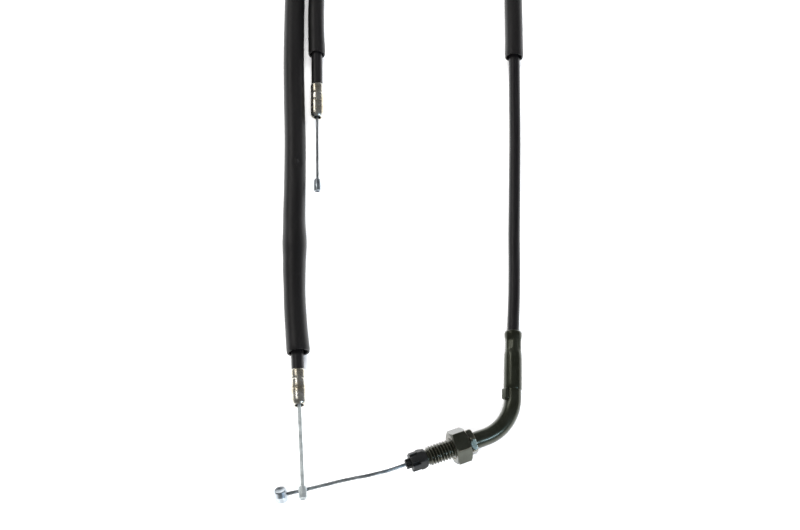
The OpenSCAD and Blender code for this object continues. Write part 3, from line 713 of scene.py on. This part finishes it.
def cap_outline(r, z, a):
    """The cap's rounded hexagon, the slots in its front and the notches in its nose."""
    if r < 0.0012:
        return r
    if z > cap_end:
        notch = 0.5 + 0.5 * math.tanh(8 * (math.cos(6 * a) - 0.35))
        return r - (0.0006 * notch if r > 0.0016 else 0.0)
    body = min(r, 0.00375 / math.cos((a - roll) % (math.pi / 3) - math.pi / 6))
    slot = 0.5 + 0.5 * math.tanh(9 * (math.cos(6 * (a - roll)) - 0.55))
    return body - (0.0011 * slot * min(1.0, max(0.0, (z - 0.0418) / 0.0008)) if r > 0.0030 else 0.0)


cap_profile = [(cap_bore, cap_start), (0.0035, cap_start), (0.0038, cap_start + 0.0003),
               (0.0042, cap_start + 0.0015)]
cap_profile += [(0.0043, cap_start + 0.0018 + 0.0003 * i) for i in range(14)]
cap_profile += [(0.0042, cap_end - 0.0003), (0.0039, cap_end), (0.0026, cap_end),
                (0.0021, cap_end + 0.0001), (0.0021, nose_end - 0.0003), (0.0019, nose_end),
                (0.0011, nose_end), (0.0009, nose_end - 0.0003), (0.0009, cap_floor), (cap_bore, cap_floor)]
cap = turned("end_cap_piece", thread_place, cap_profile, cap_outline, sides=96, closed=True)
fit(cap, moulded_nylon, "cap", "black_plastic", "end_cap")


# Grip wire and its drum. The heavy strand runs straight out of the cap, sags to the table and
# ends in a cast drum that lies across it, for the twist grip's pocket.
grip_wire_r = 0.0008
grip_line = smooth_line(
    [corner + thread_axis * l for l in (0.015, 0.035, 0.0535, 0.0545)]
    + [(-0.010, -0.1491, 0.0110), (-0.015, -0.1501, 0.0102), (-0.020, -0.1507, 0.0088),
       (-0.025, -0.1514, 0.0072), (-0.030, -0.1523, 0.0058), (-0.035, -0.1533, 0.0048),
       (-0.040, -0.1544, 0.0041), (-0.0469, -0.1559, 0.0038)],
    0.0005)
grip = sweep("grip_wire_strand", grip_line, strand(grip_wire_r, 6, 0.0085), sides=48)
fit(grip, strand_steel, "grip_pull", "steel_wire", "grip_wire")

drum_low, drum_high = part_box("grip_nipple")
drum_heading, drum_lean = math.radians(12), math.radians(40)
drum_axis = Vector((-math.sin(drum_heading) * math.sin(drum_lean),
                    math.cos(drum_heading) * math.sin(drum_lean), math.cos(drum_lean)))
drum_r, drum_half = 0.0025, 0.0027
drum_profile = [(0.0003, -drum_half + 0.0002), (0.0012, -drum_half + 0.00015),
                (drum_r - 0.0004, -drum_half), (drum_r - 0.0001, -drum_half + 0.00025),
                (drum_r, -drum_half + 0.0006), (drum_r, -0.00012),
                (drum_r + 0.00005, 0.0), (drum_r, 0.00012), (drum_r, drum_half - 0.0006),
                (drum_r - 0.0001, drum_half - 0.00025), (drum_r - 0.0004, drum_half),
                (0.0013, drum_half - 0.0001), (0.0011, drum_half - 0.00035), (0.0003, drum_half - 0.0004)]
drum = turned("grip_drum", placed((drum_low + drum_high) / 2, drum_axis, Vector((1, 0, 0))), drum_profile)
fit(drum, cast_zinc, "grip_pull", "zinc_nipple", "grip_nipple")


# Table, lights and camera. A plain white table under soft lights, seen from above at 68 degrees.
white_table, shader = new_finish("white_laminate", Base_Color=srgb("#f6f6f6"), Roughness=0.7)
table = bpy.data.meshes.new("table")
half = 4.0
corners = [(-half, -half, 0), (half, -half, 0), (half, half, 0), (-half, half, 0)]
table.from_pydata(corners, [], [(0, 1, 2, 3)])
table.materials.append(white_table)
floor = bpy.data.objects.new("table", table)
bpy.context.scene.collection.objects.link(floor)

world = bpy.data.worlds.new("soft_room")
bpy.context.scene.world = world
world.use_nodes = True
world.node_tree.nodes["Background"].inputs["Color"].default_value = (0.93, 0.96, 1.0, 1.0)
world.node_tree.nodes["Background"].inputs["Strength"].default_value = 0.17

# The two big boxes light the table evenly and stay out of the reflections; the small ones only glint
target = Vector((-0.0015, -0.055, 0.0))
for name, at, size, power, colour, glints in (
        ("front_softbox", (-0.3, -1.2, 1.3), (1.4, 1.0), 50.0, (1.0, 0.995, 0.985), False),
        ("back_softbox", (0.3, 1.0, 1.3), (1.4, 1.0), 42.0, (1.0, 0.995, 0.99), False),
        ("left_softbox", (-0.80, 0.52, 0.90), (0.14, 0.80), 2.2, (1.0, 0.98, 0.95), True),
        ("cool_strip", (0.77, -0.69, 0.60), (0.34, 0.08), 4.5, (0.55, 0.76, 1.0), True)):
    light = bpy.data.lights.new(name, "AREA")
    light.shape, light.size, light.size_y = "RECTANGLE", *size
    light.energy, light.color = power, colour
    lamp = bpy.data.objects.new(name, light)
    lamp.location = at
    lamp.rotation_euler = (target - Vector(at)).to_track_quat("-Z", "Y").to_euler()
    lamp.visible_glossy = glints
    bpy.context.scene.collection.objects.link(lamp)

bpy.context.scene.view_settings.view_transform = "Standard"
elevation, distance = math.radians(68), 0.625
lens = bpy.data.cameras.new("camera")
lens.sensor_width, lens.lens, lens.clip_start = 36.0, 65.25, 0.01
camera = bpy.data.objects.new("camera", lens)
camera.location = target + distance * Vector((0, -math.cos(elevation), math.sin(elevation)))
camera.rotation_euler = (math.pi / 2 - elevation, 0, 0)
bpy.context.scene.collection.objects.link(camera)
bpy.context.scene.camera = camera

bpy.context.view_layer.update()
